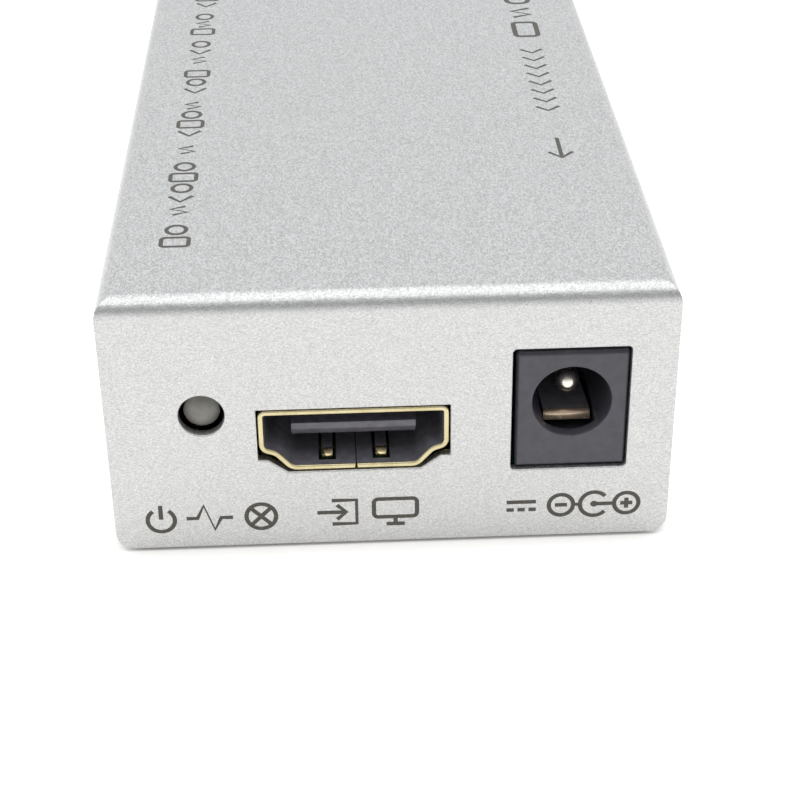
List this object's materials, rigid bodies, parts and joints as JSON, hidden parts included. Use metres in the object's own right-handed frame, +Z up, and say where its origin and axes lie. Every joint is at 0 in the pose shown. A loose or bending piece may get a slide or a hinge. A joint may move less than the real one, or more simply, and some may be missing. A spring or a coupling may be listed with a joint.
{
  "type": "video extender box",
  "caption": "Small metal-cased video line extender with a video socket, power jack and status lamp in front and a shielded network socket behind.",
  "frame": {"origin": "centre of the case's footprint, on the surface that the base plate stands on", "axes": "+Z up, -Y out of the front panel with the video socket, +X to the right seen from the front"},
  "size_m": [0.045, 0.09, 0.0231],
  "materials": {
    "case_paint": "fine silver metallic powder coat",
    "base_paint": "silver powder coat",
    "screw_steel": "zinc plated",
    "board_green": "solder mask over glass laminate",
    "gold_plate": "bright gold plating",
    "socket_black": "moulded",
    "jack_black": "satin moulded",
    "nickel_plate": "bright nickel",
    "leaf_bronze": "phosphor bronze strip",
    "tinned_wire": "tinned",
    "lamp_milk": "milky moulded",
    "shield_steel": "nickel plated",
    "lamp_green": "clear tinted",
    "lamp_amber": "clear tinted",
    "chip_black": "moulded epoxy",
    "sink_aluminium": "anodised",
    "can_aluminium": "drawn",
    "ferrite": "sintered",
    "copper_wire": "enamelled",
    "ceramic_tan": "fired",
    "solder": "bright"
  },
  "bodies": {
    "root": {"cover": "case_paint", "base_plate": "base_paint", "side_screws": "screw_steel", "board_posts": "screw_steel", "board_screws": "screw_steel", "circuit_board": "board_green", "video_shell": "gold_plate", "video_tongue": "socket_black", "video_contacts": "gold_plate", "jack_body": "jack_black", "jack_pin": "nickel_plate", "jack_terminals": "tinned_wire", "lamp_lens": "lamp_milk", "lamp_leads": "tinned_wire", "net_shield": "shield_steel", "net_housing": "socket_black", "net_pins": "gold_plate", "net_lamp_green": "lamp_green", "net_lamp_amber": "lamp_amber", "main_chip": "chip_black", "main_chip_leads": "tinned_wire", "heat_sink": "sink_aluminium", "memory_chip": "chip_black", "control_chip": "chip_black", "small_chip_leads": "tinned_wire", "clock_crystal": "shield_steel", "line_transformer": "chip_black", "transformer_leads": "tinned_wire", "power_coil": "ferrite", "coil_winding": "copper_wire", "capacitor_cans": "can_aluminium", "capacitor_bases": "chip_black", "voltage_regulator": "chip_black", "regulator_tabs": "tinned_wire", "surge_arrays": "chip_black", "chip_capacitors": "ceramic_tan", "chip_resistors": "chip_black", "solder_joints": "solder"},
    "plug_fingers": {"video_springs": "gold_plate"},
    "sleeve_leaf": {"jack_leaf": "leaf_bronze"},
    "line_wires": {"net_springs": "gold_plate"}
  },
  "joints": [
    {"name": "plug_fingers_flex", "type": "hinge", "parent": "root", "child": "plug_fingers", "pos_m": [-0.00297, -0.0397, 0.00767], "axis": [1, 0, 0], "range_deg": [0, 8], "stiffness_Nm_per_rad": 0.01},
    {"name": "sleeve_leaf_flex", "type": "hinge", "parent": "root", "child": "sleeve_leaf", "pos_m": [0.01433, -0.0331, 0.009], "axis": [1, 0, 0], "range_deg": [0, 4], "stiffness_Nm_per_rad": 0.02},
    {"name": "line_wires_flex", "type": "hinge", "parent": "root", "child": "line_wires", "pos_m": [0, 0.04305, 0.01615], "axis": [1, 0, 0], "range_deg": [-16, 0], "stiffness_Nm_per_rad": 0.01}
  ]
}
